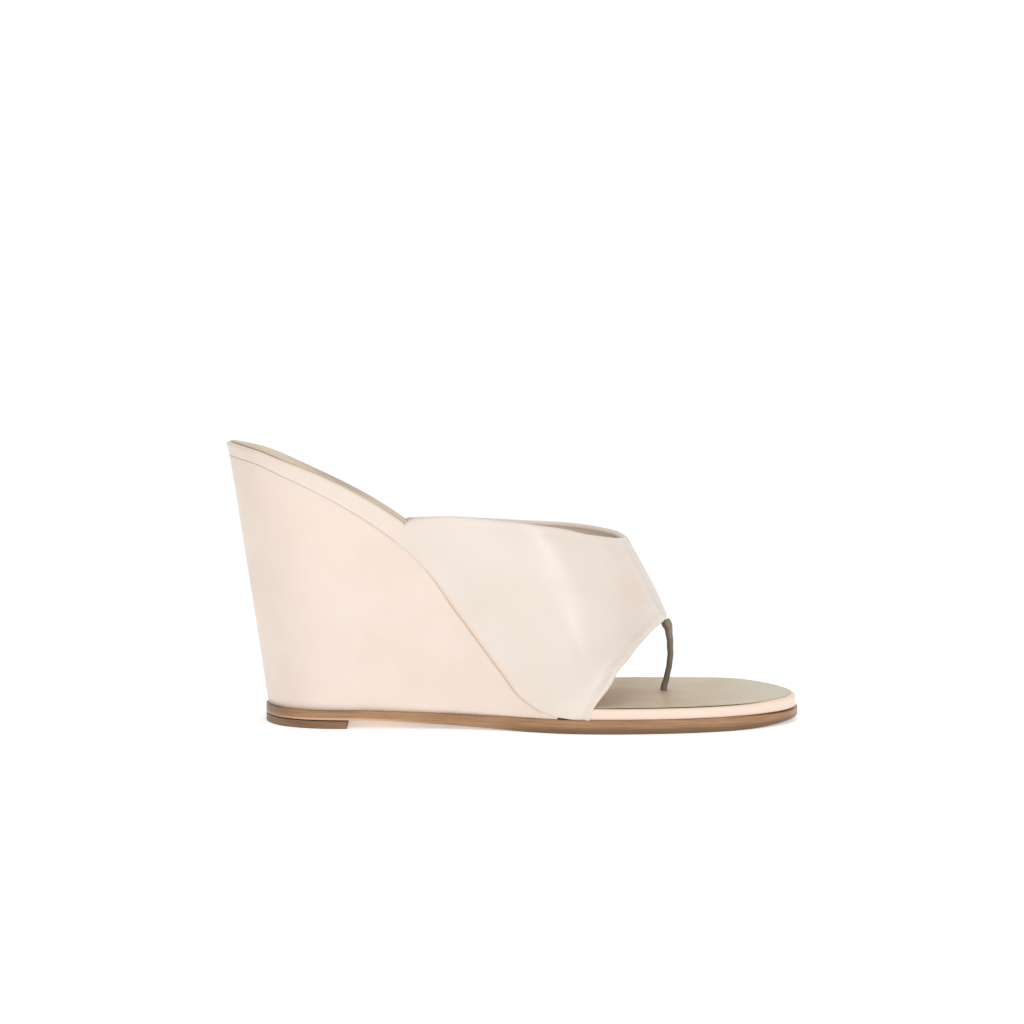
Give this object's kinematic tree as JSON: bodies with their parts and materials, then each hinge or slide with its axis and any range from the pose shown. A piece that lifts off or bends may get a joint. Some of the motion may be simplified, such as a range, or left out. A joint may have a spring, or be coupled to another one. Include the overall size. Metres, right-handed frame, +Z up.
{
  "type": "wedge shoe",
  "caption": "Right wedge thong sandal: covered high wedge, wrapped footbed, padded V strap that narrows to a toe post, thin outsole and heel top lift.",
  "frame": {"origin": "centre of the shoe's footprint, on the floor it stands on", "axes": "+X from heel to toe, +Y towards the inner side of the foot (medial), +Z up"},
  "size_m": [0.2088, 0.0782, 0.1017],
  "materials": {
    "cream_leather": "smooth cream leather, slightly pink, satin",
    "strap_leather": "soft padded cream leather, satin",
    "sock_leather": "worn beige leather, matt",
    "sole_leather": "tan stacked edge, satin",
    "top_lift_rubber": "brown, matt",
    "thong_leather": "dark rolled leather"
  },
  "bodies": {
    "root": {"outsole": "sole_leather", "top_lift": "top_lift_rubber", "wedge": "cream_leather", "footbed": "cream_leather", "sock": "sock_leather", "upper": "strap_leather", "toe_post": "thong_leather"}
  },
  "joints": []
}
